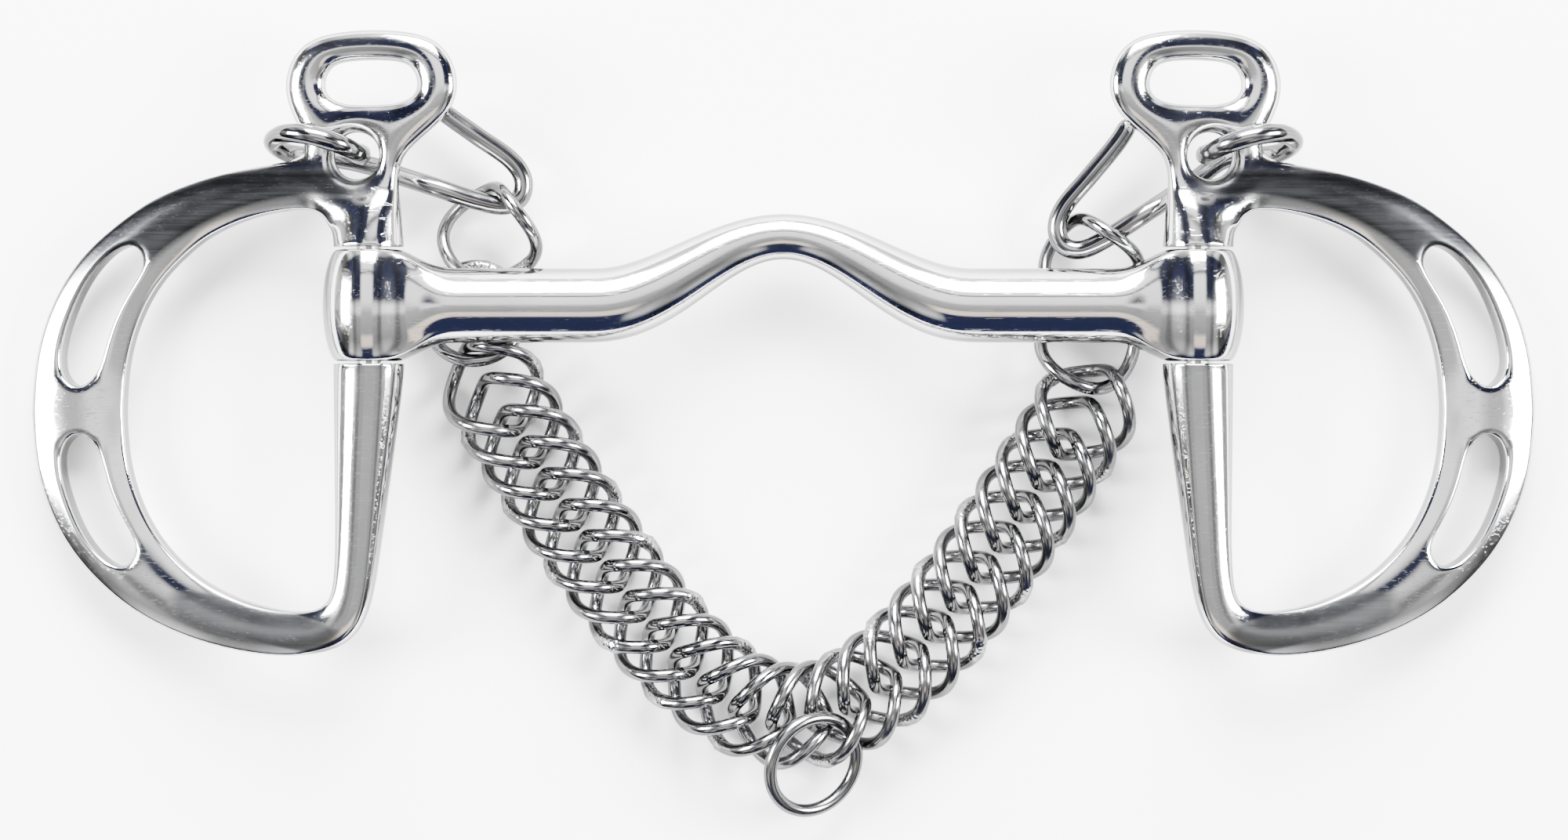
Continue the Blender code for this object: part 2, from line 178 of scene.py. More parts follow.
def buildScratchGroup():       # fine random scratches and polishing haze, used by every steel
    group = bpy.data.node_groups.new("polishWear", "ShaderNodeTree")
    face = group.interface
    face.new_socket("Place", in_out="INPUT", socket_type="NodeSocketVector")
    for name, value in (("Scratches", 0.5), ("Haze", 0.5), ("Fineness", 1.0)):
        face.new_socket(name, in_out="INPUT", socket_type="NodeSocketFloat").default_value = value
    face.new_socket("Roughness", in_out="OUTPUT", socket_type="NodeSocketFloat")
    face.new_socket("Height", in_out="OUTPUT", socket_type="NodeSocketFloat")
    face.new_socket("Shade", in_out="OUTPUT", socket_type="NodeSocketFloat")
    entry = addNode(group, "NodeGroupInput", (-1200, 0))
    leave = addNode(group, "NodeGroupOutput", (900, 0))
    lines = []
    for index, (turn, stretch) in enumerate(((35, 26), (-52, 34), (8, 30))):
        mapping = addNode(group, "ShaderNodeMapping", (-900, 300 - 260 * index))
        mapping.inputs["Rotation"].default_value = (0.3 * index, 0.2, math.radians(turn))
        mapping.inputs["Scale"].default_value = (1.0, stretch, stretch)
        group.links.new(entry.outputs["Place"], mapping.inputs["Vector"])
        streak = addNode(group, "ShaderNodeTexNoise", (-680, 300 - 260 * index), Detail=2.0, Roughness=0.6)
        group.links.new(mapping.outputs[0], streak.inputs["Vector"])
        size = addMath(group, (-900, 80 - 260 * index), "MULTIPLY", entry.outputs["Fineness"], 150.0)
        group.links.new(size, streak.inputs["Scale"])
        lines.append(addRamp(group, (-460, 300 - 260 * index),
                             ((0.0, 0.0), (0.66, 0.0), (0.71, 1.0), (1.0, 1.0)), streak.outputs["Fac"]))
    both = addMath(group, (-160, 200), "MAXIMUM", lines[0], lines[1])
    scratch = addMath(group, (0, 200), "MAXIMUM", both, lines[2])
    strength = addMath(group, (160, 200), "MULTIPLY", scratch, entry.outputs["Scratches"])
    cloud = addNode(group, "ShaderNodeTexNoise", (-680, -560), Scale=55.0, Detail=5.0, Roughness=0.62)
    group.links.new(entry.outputs["Place"], cloud.inputs["Vector"])
    smear = addRamp(group, (-460, -560), ((0.35, 0.0), (0.72, 1.0)), cloud.outputs["Fac"])
    haze = addMath(group, (-160, -500), "MULTIPLY", smear, entry.outputs["Haze"])
    rough = addMath(group, (340, 100), "MULTIPLY_ADD", strength, 0.18, haze)
    group.links.new(rough, leave.inputs["Roughness"])
    group.links.new(addMath(group, (340, -60), "MULTIPLY", strength, -1.0), leave.inputs["Height"])
    group.links.new(smear, leave.inputs["Shade"])
    return group


scratchGroup = buildScratchGroup()


def startSteel(name, metalTint):
    material = bpy.data.materials.new(name)
    material.use_nodes = True
    tree = material.node_tree
    shader = tree.nodes["Principled BSDF"]
    shader.inputs["Metallic"].default_value = 1.0
    shader.inputs["Base Color"].default_value = (*metalTint, 1)
    return material, tree, shader


def addWear(tree, vector, scratches, haze, fineness=1.0):
    node = addNode(tree, "ShaderNodeGroup", (-500, -100), node_tree=scratchGroup)
    tree.links.new(vector, node.inputs["Place"])
    node.inputs["Scratches"].default_value = scratches
    node.inputs["Haze"].default_value = haze
    node.inputs["Fineness"].default_value = fineness
    return node


def paintFacingShade(tree, shader, colour, rim):      # painted shade: the base colour is darkened where the surface falls away from the eye
    facing = addNode(tree, "ShaderNodeLayerWeight", (-400, 600), Blend=0.5).outputs["Facing"]
    shade = addNode(tree, "ShaderNodeVectorMath", (-40, 400), operation="MULTIPLY")
    tree.links.new(colour, shade.inputs[0])
    tree.links.new(addRamp(tree, (-240, 600), rim, facing), shade.inputs[1])
    tree.links.new(shade.outputs[0], shader.inputs["Base Color"])


def addBump(tree, shader, height, strength, distance):
    bump = addNode(tree, "ShaderNodeBump", (-60, -320), Strength=strength, Distance=distance)
    tree.links.new(height, bump.inputs["Height"])
    tree.links.new(bump.outputs[0], shader.inputs["Normal"])


castingFinish = {"tint": (0.80, 0.80, 0.80), "shade": (0.62, 0.625, 0.635), "roughness": 0.055,
                 # near-black painted dark reflection for the patches on the D, and their extra roughness
                 "paintedReflectionTint": (0.032, 0.034, 0.038), "darkPatchRoughness": 0.12,
                 # painted shade ramp: darkens the colour where the surface turns away from the eye
                 "rim": ((0.0, 1.0), (0.34, 1.0), (0.56, 0.36), (0.80, 0.05), (1.0, 0.08)),
                 "nickCentre": (66.0, 14.5), "nickReach": (2.6, 5.0)}
# where the painted dark reflection lies on the D's upper arcs
arcDarkReflection = {"centre": (76.4, -17.4), "size": (42.0, 37.4), "ring": (0.925, 0.965),
           "height": (-9.0, 11.0, 23.6), "topFade": 2.0, "neck": (72.5, 66.5)}
# painted dark reflection patch near the bottom of the D
lowDarkReflection = {"centre": (87.5, -52.4), "turn": 13.0, "size": (15.5, 3.1), "fade": (1.15, 0.45), "strength": 0.8}


def buildCastingSteel():       # mirror polish; the upper arcs and a patch low on the D get a painted dark reflection, streaked, rougher and grained
    material, tree, shader = startSteel("polishedSteel", castingFinish["tint"])
    coords = addNode(tree, "ShaderNodeTexCoord", (-1500, 0)).outputs["Object"]
    wear = addWear(tree, coords, 0.30, 0.07)
    split = addNode(tree, "ShaderNodeSeparateXYZ", (-1300, -300))
    tree.links.new(coords, split.inputs[0])
    side = addMath(tree, (-1120, -300), "ABSOLUTE", split.outputs["X"])
    sideGap = addMath(tree, (-1120, -160), "MULTIPLY_ADD", side, 1 / mm, -arcDarkReflection["centre"][0])
    upGap = addMath(tree, (-1120, -460), "MULTIPLY_ADD", split.outputs["Y"], 1 / mm,
                    -rowShift / mm - arcDarkReflection["centre"][1])
    across, along = arcDarkReflection["size"]
    ovalSide = addMath(tree, (-1030, -160), "MULTIPLY", sideGap, 1 / across)
    ovalSide = addMath(tree, (-940, -160), "POWER", ovalSide, 2)
    ovalUp = addMath(tree, (-1030, -460), "MULTIPLY", upGap, 1 / along)
    ovalUp = addMath(tree, (-940, -460), "POWER", ovalUp, 2)
    oval = addMath(tree, (-760, -300), "SQRT", addMath(tree, (-850, -300), "ADD", ovalSide, ovalUp))
    low, high, top = (value - arcDarkReflection["centre"][1] for value in arcDarkReflection["height"])
    arcReflectionMask = addMath(tree, (-420, -300), "MULTIPLY", addStep(tree, (-600, -200), oval, *arcDarkReflection["ring"]),
                    addStep(tree, (-600, -420), upGap, low, high))
    belowTop = addStep(tree, (-600, -540), upGap, top, top - arcDarkReflection["topFade"])
    arcReflectionMask = addMath(tree, (-380, -300), "MULTIPLY", arcReflectionMask, belowTop)
    inner, outer = (value - arcDarkReflection["centre"][0] for value in arcDarkReflection["neck"])
    arcReflectionMask = addMath(tree, (-330, -300), "MULTIPLY", arcReflectionMask, addStep(tree, (-600, -640), sideGap, outer, inner))
    # rounded box mask of that low painted dark reflection patch
    lowPatchX, lowPatchY = (value - start for value, start in zip(lowDarkReflection["centre"], arcDarkReflection["centre"]))
    turn = math.radians(lowDarkReflection["turn"])
    sine, cosine = math.sin(turn), math.cos(turn)
    length, width = lowDarkReflection["size"]
    lowPatchAcross = addMath(tree, (-940, -800), "MULTIPLY_ADD", upGap, sine / length,
                         -(lowPatchX * cosine + lowPatchY * sine) / length)
    lowPatchAcross = addMath(tree, (-850, -800), "MULTIPLY_ADD", sideGap, cosine / length, lowPatchAcross)
    lowPatchUp = addMath(tree, (-940, -960), "MULTIPLY_ADD", sideGap, -sine / width,
                     (lowPatchX * sine - lowPatchY * cosine) / width)
    lowPatchUp = addMath(tree, (-850, -960), "MULTIPLY_ADD", upGap, cosine / width, lowPatchUp)
    lowPatchShape = addMath(tree, (-760, -880), "ADD", addMath(tree, (-760, -800), "POWER", lowPatchAcross, 4),
                   addMath(tree, (-760, -960), "POWER", lowPatchUp, 4))
    lowReflectionMask = addMath(tree, (-420, -880), "MULTIPLY", addStep(tree, (-600, -880), lowPatchShape, *lowDarkReflection["fade"]),
                     lowDarkReflection["strength"])
    # mask of the painted dark reflection patches; it also roughens and grains them
    darkReflectionPatches = addMath(tree, (-240, -300), "MAXIMUM", arcReflectionMask, lowReflectionMask)
    brushMap = addNode(tree, "ShaderNodeMapping", (-1300, -700))
    brushMap.inputs["Rotation"].default_value = (0, 0, math.radians(48))
    brushMap.inputs["Scale"].default_value = (60, 2400, 400)
    tree.links.new(coords, brushMap.inputs["Vector"])
    grain = addNode(tree, "ShaderNodeTexNoise", (-1100, -700), Scale=1.0, Detail=3.0)
    tree.links.new(brushMap.outputs[0], grain.inputs["Vector"])
    grainHeight = addMath(tree, (-300, -600), "MULTIPLY", grain.outputs["Fac"], darkReflectionPatches)
    rough = addMath(tree, (-240, 60), "ADD", wear.outputs["Roughness"], castingFinish["roughness"])
    rough = addMath(tree, (-100, 60), "MULTIPLY_ADD", darkReflectionPatches, castingFinish["darkPatchRoughness"], rough)
    tree.links.new(rough, shader.inputs["Roughness"])
    base = addMix(tree, (-240, 260), wear.outputs["Shade"], castingFinish["tint"], castingFinish["shade"])
    # base colour mixed with streaks towards the near-black tint: painted dark reflection
    paintedDarkMix = addMath(tree, (-240, 420), "MULTIPLY_ADD", grainHeight, 0.14,
                      addMath(tree, (-400, 420), "MULTIPLY", darkReflectionPatches, 0.9))
    base = addMix(tree, (-160, 300), paintedDarkMix, base, castingFinish["paintedReflectionTint"])
    paintFacingShade(tree, shader, base, castingFinish["rim"])
    nickMap = addNode(tree, "ShaderNodeMapping", (-1300, -1000))
    nickMap.inputs["Scale"].default_value = (500, 1900, 100)
    tree.links.new(coords, nickMap.inputs["Vector"])
    nicks = addNode(tree, "ShaderNodeTexNoise", (-1100, -1000), Scale=1.0, Detail=0.0)
    tree.links.new(nickMap.outputs[0], nicks.inputs["Vector"])
    nickLines = addRamp(tree, (-900, -1000), ((0.0, 0.0), (0.70, 0.0), (0.74, 1.0)), nicks.outputs["Fac"])
    nickX = addMath(tree, (-900, -1200), "ABSOLUTE",
                    addMath(tree, (-1100, -1200), "SUBTRACT", side, castingFinish["nickCentre"][0] * mm))
    nickY = addMath(tree, (-900, -1360), "ABSOLUTE",
                    addMath(tree, (-1100, -1360), "SUBTRACT", split.outputs["Y"],
                            rowShift + castingFinish["nickCentre"][1] * mm))
    nearX = addMath(tree, (-700, -1200), "LESS_THAN", nickX, castingFinish["nickReach"][0] * mm)
    nearY = addMath(tree, (-700, -1360), "LESS_THAN", nickY, castingFinish["nickReach"][1] * mm)
    nickNear = addMath(tree, (-520, -1260), "MULTIPLY", nearX, nearY)
    nickMask = addMath(tree, (-520, -1100), "MULTIPLY", nickNear, nickLines)
    height = addMath(tree, (-240, -500), "MULTIPLY_ADD", grainHeight, 0.5, wear.outputs["Height"])
    height = addMath(tree, (-120, -560), "MULTIPLY_ADD", nickMask, -5.0, height)
    addBump(tree, shader, height, 0.35, 0.00002)
    return material


# drawing streaks mix these two colours; both sit far below the castings' steel though it is the same metal:
# painted dark reflection
wireFinish = {"bright": (0.42, 0.42, 0.425), "dark": (0.15, 0.15, 0.155), "roughness": 0.13,
              "weldBright": (0.86, 0.86, 0.87), "weldDark": (0.42, 0.42, 0.43),
              # painted shade ramp: darkens the colour where the wire turns away from the eye
              "rim": ((0.0, 1.0), (0.16, 1.0), (0.34, 0.34), (0.66, 0.10), (1.0, 0.14))}


def buildWireSteel():          # drawn wire: streaks run along it, and the weld is bright and pitted
    material, tree, shader = startSteel("drawnWire", wireFinish["bright"])
    place = addNode(tree, "ShaderNodeAttribute", (-1500, 0), attribute_name="wirePlace").outputs["Vector"]
    weld = addNode(tree, "ShaderNodeAttribute", (-1500, -400), attribute_name="weld").outputs["Fac"]
    coords = addNode(tree, "ShaderNodeTexCoord", (-1500, 400)).outputs["Object"]
    stretch = addNode(tree, "ShaderNodeMapping", (-1300, 0))
    stretch.inputs["Scale"].default_value = (2400, 2400, 60)
    tree.links.new(place, stretch.inputs["Vector"])
    streak = addNode(tree, "ShaderNodeTexNoise", (-1100, 0), Scale=1.0, Detail=3.0, Roughness=0.7)
    tree.links.new(stretch.outputs[0], streak.inputs["Vector"])
    draw = addRamp(tree, (-900, 0), ((0.36, 0.0), (0.60, 1.0)), streak.outputs["Fac"])
    spot = addNode(tree, "ShaderNodeTexNoise", (-1100, 320), Scale=900.0, Detail=4.0, Roughness=0.7)
    tree.links.new(coords, spot.inputs["Vector"])
    pits = addNode(tree, "ShaderNodeTexVoronoi", (-1100, -400), Scale=1500.0, feature="F1")
    tree.links.new(coords, pits.inputs["Vector"])
    wear = addWear(tree, coords, 0.25, 0.12, 2.0)
    wire = addMix(tree, (-600, 200), draw, wireFinish["dark"], wireFinish["bright"])
    spots = addRamp(tree, (-800, 420), ((0.4, 0.0), (0.6, 1.0)), spot.outputs["Fac"])
    bead = addMix(tree, (-600, 400), spots, wireFinish["weldDark"], wireFinish["weldBright"])
    paintFacingShade(tree, shader, addMix(tree, (-240, 260), weld, wire, bead), wireFinish["rim"])
    rough = addMath(tree, (-400, 20), "ADD", wear.outputs["Roughness"], wireFinish["roughness"])
    rough = addMath(tree, (-240, 20), "MULTIPLY_ADD", draw, -0.06, rough)
    tree.links.new(rough, shader.inputs["Roughness"])
    lineHeight = addMath(tree, (-400, -260), "MULTIPLY", streak.outputs["Fac"], 0.6)
    pitHeight = addMath(tree, (-400, -420), "MULTIPLY", pits.outputs["Distance"], weld)
    height = addMath(tree, (-240, -360), "MULTIPLY_ADD", pitHeight, 6.0, lineHeight)
    addBump(tree, shader, height, 0.5, 0.00003)
    return material


pinFinish = {"tint": (0.60, 0.60, 0.61), "dark": (0.40, 0.40, 0.41), "roughness": 0.28}


def buildPinSteel():           # turned steel: fine rings round the pin
    material, tree, shader = startSteel("turnedSteel", pinFinish["tint"])
    coords = addNode(tree, "ShaderNodeTexCoord", (-1200, 0)).outputs["Object"]
    rings = addNode(tree, "ShaderNodeTexWave", (-900, 0), Scale=900.0, Distortion=2.0, Detail=2.0)
    rings.bands_direction = "Y"
    tree.links.new(coords, rings.inputs["Vector"])
    wear = addWear(tree, coords, 0.3, 0.1)
    tree.links.new(addMix(tree, (-400, 200), rings.outputs["Fac"], pinFinish["dark"], pinFinish["tint"]),
                   shader.inputs["Base Color"])
    tree.links.new(addMath(tree, (-300, 0), "ADD", wear.outputs["Roughness"], pinFinish["roughness"]),
                   shader.inputs["Roughness"])
    addBump(tree, shader, rings.outputs["Fac"], 0.3, 0.00002)
    return material


polishedSteel = buildCastingSteel()
drawnWire = buildWireSteel()
turnedSteel = buildPinSteel()
print("materials made")


# ---- mouthpiece: ported bar drawn out of one barrel and bridged to both

bar = {"radius": 6.2, "end": 55.0, "stations": 48, "portRise": 11.4, "portHalfWidth": 31.0,
       "portThinning": 2.4}
barrel = {"sides": 20, "bore": 2.3,
          "profile": ((5.35, -9.22), (5.95, -9.0), (6.75, -7.3), (7.45, -4.6), (7.75, -1.6), (7.75, 1.6),
                      (7.45, 4.6), (6.75, 7.3), (5.95, 9.0), (5.35, 9.22))}


def portLift(x):
    if abs(x) >= bar["portHalfWidth"]:
        return 0.0
    return (1 + math.cos(math.pi * x / bar["portHalfWidth"])) / 2


def barFrame(x):               # turned square to the bar and sized to it
    rise = (portLift(x + 0.01) - portLift(x - 0.01)) / 0.02 * bar["portRise"]
    radius = bar["radius"] - bar["portThinning"] * portLift(x)
    centre = Vector((x * mm, rowShift + portLift(x) * bar["portRise"] * mm, axisHeight))
    turn = Matrix.Rotation(math.atan(rise), 4, "Z")
    return Matrix.Translation(centre) @ turn @ Matrix.Scale(radius / bar["radius"], 4)


def addBarrel(side):
    startClean()
    centre = Vector((side * spindleX, rowShift, axisHeight))
    profile = barrel["profile"]
    bpy.ops.mesh.primitive_circle_add(vertices=barrel["sides"], radius=mm, fill_type="NOTHING",
                                      rotation=(math.radians(90), 0, 0))
    piece = bpy.context.object
    bpy.ops.object.transform_apply(location=False, rotation=True, scale=False)
    loop = [(barrel["bore"], -9.0)] + [(barrel["bore"] + 0.15, -9.22), (3.8, -9.22)] + list(profile)
    loop += [(3.8, 9.22), (barrel["bore"] + 0.15, 9.22), (barrel["bore"], 9.0), (barrel["bore"], 0.0),
             (barrel["bore"], -9.0)]
    frames = [Matrix.Translation((centre.x, centre.y + height * mm, centre.z))
              @ Matrix.Diagonal((radius, 1, radius, 1)) for radius, height in loop]
    piece.data.transform(frames[0])
    editAll(piece)
    extrudeAlong(frames)
    bpy.ops.mesh.select_all(action="SELECT")
    bpy.ops.mesh.remove_doubles(threshold=0.00002)
    shape = bmesh.from_edit_mesh(piece.data)
    for face in shape.faces:
        middle = face.calc_center_median() - centre
        inward = -side * middle.x
        outside = math.hypot(middle.x, middle.z) > 5 * mm
        face.select = outside and inward > 0.58 * math.hypot(middle.x, middle.z) and abs(middle.y) < 8.4 * mm
    bmesh.update_edit_mesh(piece.data)
    bpy.ops.mesh.delete(type="FACE")
    bpy.ops.object.mode_set(mode="OBJECT")
    return piece


def holeCount(piece):          # number of open edges round the hole left in a barrel
    shape = bmesh.new()
    shape.from_mesh(piece.data)
    count = sum(edge.is_boundary for edge in shape.edges)
    shape.free()
    return count


def buildMouthpiece():
    barrels = [addBarrel(-1), addBarrel(1)]
    sides = holeCount(barrels[0])
    print("open edges round a barrel's hole:", sides)
    startClean()
    steps = bar["stations"]
    places = [bar["end"] * (2 * step / steps - 1) for step in range(steps + 1)]
    frames = [barFrame(x) for x in places]
    bpy.ops.mesh.primitive_circle_add(vertices=sides, radius=bar["radius"] * mm, fill_type="NOTHING",
                                      rotation=(0, math.radians(90), 0))
    tube = bpy.context.object
    bpy.ops.object.transform_apply(location=False, rotation=True, scale=False)
    tube.data.transform(frames[0])
    editAll(tube)
    extrudeAlong(frames)
    bpy.ops.object.mode_set(mode="OBJECT")
    startClean()
    for piece in barrels + [tube]:
        piece.select_set(True)
    bpy.context.view_layer.objects.active = tube
    bpy.ops.object.join()
    for side in (-1, 1):
        bpy.ops.object.mode_set(mode="EDIT")
        bpy.ops.mesh.select_all(action="DESELECT")
        bpy.ops.mesh.select_mode(type="EDGE")
        shape = bmesh.from_edit_mesh(tube.data)
        for edge in shape.edges:
            middle = (edge.verts[0].co + edge.verts[1].co) / 2
            if edge.is_boundary and side * middle.x > 0:
                edge.select = True
        bmesh.update_edit_mesh(tube.data)
        bpy.ops.mesh.bridge_edge_loops(number_cuts=3, interpolation="SURFACE", smoothness=0.9)
        bpy.ops.object.mode_set(mode="OBJECT")
    closeUp(tube)
    subdivide(tube, 2)
    finishPiece(tube, "portedBar", polishedSteel, "mouthpiece", ["mouthpiece"], 60)


buildMouthpiece()
print("mouthpiece made")


# ---- cheeks: a flat cage of strips, given its thickness, then smoothed

cheek = {"tilt": math.asin((axisHeight - 2.5 * mm) / (57.7 * mm)), "ovalCentre": (-8.0, -17.4),
         "outer": (49.75, 41.0), "inner": (33.8, 33.5), "squareness": 2.25, "slotHalfWidth": 3.75,
         "slots": ((7.0, -10.2), (-24.4, -40.2)), "bridgeHeight": -16.6,
         "edge": 1.75, "face": 2.42, "rimCrease": 0.42, "endCrease": 0.75}


def ovalPoint(size, angle):
    cosine, sine = math.cos(math.radians(angle)), math.sin(math.radians(angle))
    power = 2 / cheek["squareness"]
    return Vector((cheek["ovalCentre"][0] + math.copysign(abs(cosine) ** power, cosine) * size[0],
                   cheek["ovalCentre"][1] + math.copysign(abs(sine) ** power, sine) * size[1]))


def ovalAngle(height):         # angle of the middle oval's outboard half at a height
    ratio = (height - cheek["ovalCentre"][1]) / ((cheek["outer"][1] + cheek["inner"][1]) / 2)
    return 180 - math.degrees(math.asin(math.copysign(abs(ratio) ** (cheek["squareness"] / 2), ratio)))


def bandRow(angle, half=None, bulge=0.0):        # inner edge, slot, slot middle, slot, outer edge
    inner, outer = ovalPoint(cheek["inner"], angle), ovalPoint(cheek["outer"], angle)
    middle, across = (inner + outer) / 2, (outer - inner).normalized()
    half = half or (outer - inner).length * 0.27
    along = Vector((-across.y, across.x)) * bulge
    edge, face = cheek["edge"], cheek["face"]
    spots = ((inner, edge), (middle - across * half, face), (middle + along, face + 0.1),
             (middle + across * half, face), (outer, edge - 0.15))
    return [(spot.x, spot.y, thickness) for spot, thickness in spots]


def bandRows():
    rows = [bandRow(angle) for angle in (102, 110, 119)]
    half = cheek["slotHalfWidth"]
    slots = []
    for top, bottom in cheek["slots"]:
        rows.append(bandRow(ovalAngle(top + 4.4 + 2.0)))
        start = len(rows)
        rows.append(bandRow(ovalAngle(top + 1.3), half - 0.55, -2.6))
        for part in (0.16, 0.38, 0.62, 0.84):
            rows.append(bandRow(ovalAngle(top + (bottom - top) * part), half))
        rows.append(bandRow(ovalAngle(bottom - 1.3), half - 0.55, 2.6))
        slots.append((start, len(rows) - 1))
        if top > 0:
            rows.append(bandRow(ovalAngle(cheek["bridgeHeight"])))
    rows += [bandRow(angle) for angle in (227.5, 236, 245, 254, 262)]
    return rows, slots


shankRows = (((-8.9, -50.6, 1.8), (-8.2, -57.9, 1.75), 2.45), ((-6.7, -49.0, 1.8), (-2.9, -55.7, 1.75), 2.5),
             ((-5.8, -45.6, 1.8), (0.5, -50.6, 1.8), 2.8), ((-5.6, -38.0, 1.9), (2.1, -39.5, 1.9), 3.3),
             ((-5.75, -28.0, 2.1), (3.7, -28.6, 2.1), 4.1), ((-5.85, -18.0, 2.2), (5.1, -18.2, 2.2), 4.8),
             ((-5.95, -11.4, 2.3), (5.95, -11.4, 2.3), 5.3), ((-5.95, -9.6, 2.3), (5.95, -9.6, 2.3), 5.4))
hub = {"left": (-9.5, 24.4, 1.7), "lowLeft": (-6.9, 19.7, 2.4), "low": (-1.9, 17.7, 2.6),
       "lowRight": (5.2, 19.4, 1.9), "right": (5.2, 25.0, 1.9), "topRight": (4.3, 30.4, 2.4),
       "top": (-1.5, 31.6, 2.4), "topLeft": (-6.9, 30.4, 2.4)}     # outer ring of the hook eye
elbowRows = (("left", (-11.0, 16.15, 1.8), 2.45), ("lowLeft", (-8.4, 15.6, 1.8), 2.55),
             ("low", (-6.9, 14.2, 1.9), 3.0), ("lowRight", (-6.3, 12.3, 2.0), 3.9),
             ((5.6, 14.0, 2.0), (-6.0, 10.9, 2.2), 4.9), ((5.95, 9.6, 2.3), (-5.95, 9.6, 2.3), 5.4))


def crossRow(first, last, crown):      # five points from edge to edge over a rounded crown
    row = []
    for part, rise in ((0.0, 0.0), (0.23, 0.78), (0.5, 1.0), (0.77, 0.78), (1.0, 0.0)):
        spot = [a + (b - a) * part for a, b in zip(first[:2], last[:2])]
        edge = first[2] + (last[2] - first[2]) * part
        row.append((*spot, edge + (crown - edge) * rise))
    return row


def loopRows():                # right eye-side corner, round the headpiece loop, to the left corner
    centre, reachSide, inner, middle, outer = (0.4, 36.65), 5.4, 3.8, 6.4, 9.2
    rings = ((inner, 1.5, 1.2), (middle, 2.5, 0.1), (outer, 1.4, -0.8))     # radius, thickness, inset
    rows = []
    for angle, side in ((-42, 1), (-5, 1), (38, 1), (80, 1), (100, -1), (142, -1), (185, -1), (222, -1)):
        direction = Vector((math.cos(math.radians(angle)), math.sin(math.radians(angle))))
        base = Vector((centre[0] + side * reachSide, centre[1]))
        rows.append([(*(base + direction * radius - Vector((side * inset, 0))), thickness)
                     for radius, thickness, inset in rings])
    return rows


def addStrip(rows):            # a grid whose rows are moved onto the given points
    startClean()
    last = (len(rows[0]) - 1, len(rows) - 1)
    bpy.ops.mesh.primitive_grid_add(x_subdivisions=last[0], y_subdivisions=last[1], size=2)
    piece = bpy.context.object
    for vert in piece.data.vertices:
        column, row = (round((value + 1) / 2 * count) for value, count in zip(vert.co[:2], last))
        vert.co = Vector(rows[row][column]) * mm
    return piece


def buildCage():
    rows, slots = bandRows()
    elbow = []
    for outer, inner, crown in elbowRows:
        outer = hub[outer] if isinstance(outer, str) else outer
        elbow.append(crossRow(inner, outer, crown))
    band = elbow[::-1] + rows + [crossRow(inner, outer, crown) for inner, outer, crown in shankRows]
    shift = len(elbow)
    bandStrip = addStrip(band)
    holes = [(start + shift, end + shift) for start, end in slots]
    editAll(bandStrip)
    bpy.ops.mesh.select_all(action="DESELECT")
    shape = bmesh.from_edit_mesh(bandStrip.data)
    spots = {tuple(round(value * 1e6) for value in Vector(point) * mm): (index, column)
             for index, row in enumerate(band) for column, point in enumerate(row)}
    for face in shape.faces:
        marks = [spots[tuple(round(value * 1e6) for value in vert.co)] for vert in face.verts]
        inRows = any(all(start <= row <= end for row, column in marks) for start, end in holes)
        face.select = inRows and all(1 <= column <= 3 for row, column in marks)
    bmesh.update_edit_mesh(bandStrip.data)
    bpy.ops.mesh.delete(type="FACE")
    bpy.ops.object.mode_set(mode="OBJECT")
    order = ("right", "topRight", "top", "topLeft", "left", "lowLeft", "low", "lowRight", "right")
    eye = []
    for index, name in enumerate(order):
        angle = math.radians(45 * index)
        eye.append([(-2.0 + 4.15 * math.cos(angle), 24.7 + 4.15 * math.sin(angle), 1.9), hub[name]])
    eyeStrip = addStrip(eye)
    loop = loopRows()
    slotEdge = [(3.9, 33.2, 1.5), (0.1, 33.2, 1.6), (-3.2, 33.2, 1.5)]
    arch = addStrip([[loop[0][0], loop[0][1]]] + [[edge, hub[name]] for edge, name in
                                                  zip(slotEdge, ("topRight", "top", "topLeft"))]
                    + [[loop[-1][0], loop[-1][1]]])
    loopStrip = addStrip(loop)
    corners = [addStrip([[loop[0][1], loop[0][2]], [hub["topRight"], hub["right"]]]),
               addStrip([[loop[-1][1], loop[-1][2]], [hub["topLeft"], hub["left"]]])]
    startClean()
    for piece in [bandStrip, eyeStrip, arch, loopStrip] + corners:
        piece.select_set(True)
    bpy.context.view_layer.objects.active = bandStrip
    bpy.ops.object.join()
    editAll(bandStrip)
    bpy.ops.mesh.remove_doubles(threshold=0.00005)
    bpy.ops.mesh.extrude_region_move()
    shape = bmesh.from_edit_mesh(bandStrip.data)
    for vert in shape.verts:
        if vert.select:
            vert.co.z = -vert.co.z
    bmesh.update_edit_mesh(bandStrip.data)
    bpy.ops.mesh.select_all(action="SELECT")
    bpy.ops.mesh.normals_make_consistent(inside=False)
    for crease, wanted in ((cheek["rimCrease"], isRim), (cheek["endCrease"], isEnd)):
        bpy.ops.mesh.select_all(action="DESELECT")
        shape = bmesh.from_edit_mesh(bandStrip.data)
        for edge in shape.edges:
            edge.select = wanted(edge)
        bmesh.update_edit_mesh(bandStrip.data)
        bpy.ops.transform.edge_crease(value=crease)
    bpy.ops.object.mode_set(mode="OBJECT")
    return bandStrip


def isRim(edge):               # long edges of the D's plate and its slots
    middle = (edge.verts[0].co + edge.verts[1].co) / 2 / mm
    wall = any(abs(face.normal.z) < 0.35 for face in edge.link_faces)
    flat = abs(edge.verts[0].co.z - edge.verts[1].co.z) < 0.8 * mm
    return wall and flat and middle.x < -6.3 and middle.y < 24.5


def isEnd(edge):               # rims of the two flat ends that hold the barrel
    return all(abs(abs(vert.co.y) - 9.6 * mm) < 0.02 * mm for vert in edge.verts)


